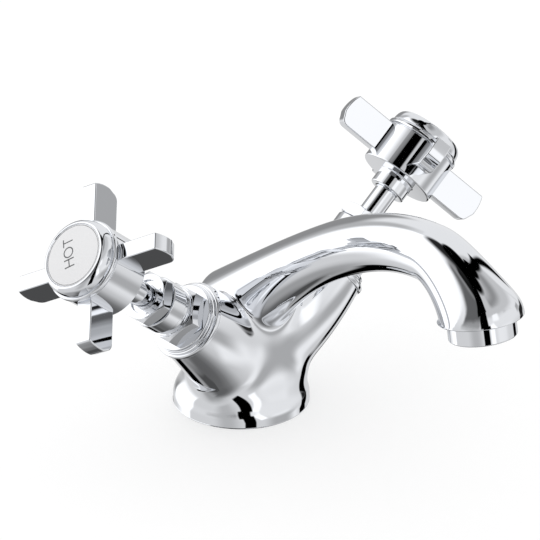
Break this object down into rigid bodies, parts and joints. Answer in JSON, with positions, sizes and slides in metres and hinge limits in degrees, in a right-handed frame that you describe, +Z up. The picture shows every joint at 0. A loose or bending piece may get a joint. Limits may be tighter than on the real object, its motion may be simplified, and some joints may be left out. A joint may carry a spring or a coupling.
{
  "type": "basin mixer tap",
  "caption": "Chrome basin mixer tap with an arched spout, a flared foot, two slanted ceramic disc valves and cross handles with enamelled index discs.",
  "frame": {"origin": "centre of the foot on the deck, at the mouth of the fixing stud's hole", "axes": "+X is the way the spout points, -Y the hot side, +Y the cold side, +Z up"},
  "size_m": [0.168, 0.1932, 0.107],
  "materials": {
    "chrome_body": "polished chrome plate on cast brass",
    "chrome_trim": "polished chrome plate on turned brass",
    "chrome_handle": "polished chrome plate on a cast handle",
    "chrome_spindle": "polished chrome plate on turned brass",
    "rubber_black": "matt black rubber",
    "plastic_grey": "moulded grey plastic",
    "ceramic_disc": "ground ceramic",
    "steel_plain": "plain stainless steel",
    "enamel_white": "white glazed enamel with thin grey letters"
  },
  "bodies": {
    "root": {"body": "chrome_body", "base_seal": "rubber_black", "aerator_housing": "chrome_trim", "aerator_insert": "plastic_grey", "aerator_seal": "rubber_black", "hot_trim_ring": "chrome_trim", "hot_valve_body": "chrome_trim", "hot_gland_nut": "chrome_trim", "hot_lower_disc": "ceramic_disc", "hot_seat_gasket": "rubber_black", "cold_trim_ring": "chrome_trim", "cold_valve_body": "chrome_trim", "cold_gland_nut": "chrome_trim", "cold_lower_disc": "ceramic_disc", "cold_seat_gasket": "rubber_black"},
    "hot_turning": {"hot_spindle": "chrome_spindle", "hot_spindle_rings": "rubber_black", "hot_circlip": "steel_plain", "hot_upper_disc": "ceramic_disc", "hot_handle": "chrome_handle", "hot_handle_screw": "steel_plain", "hot_cap": "chrome_trim", "hot_index_disc": "enamel_white"},
    "cold_turning": {"cold_spindle": "chrome_spindle", "cold_spindle_rings": "rubber_black", "cold_circlip": "steel_plain", "cold_upper_disc": "ceramic_disc", "cold_handle": "chrome_handle", "cold_handle_screw": "steel_plain", "cold_cap": "chrome_trim", "cold_index_disc": "enamel_white"}
  },
  "joints": [
    {"name": "hot_handle_turn", "type": "hinge", "parent": "root", "child": "hot_turning", "pos_m": [0.01075, -0.03511, 0.04794], "axis": [0, -0.7716, 0.6361], "range_deg": [0, 90]},
    {"name": "cold_handle_turn", "type": "hinge", "parent": "root", "child": "cold_turning", "pos_m": [0.01075, 0.03511, 0.04794], "axis": [0, 0.7716, 0.6361], "range_deg": [-90, 0]}
  ]
}
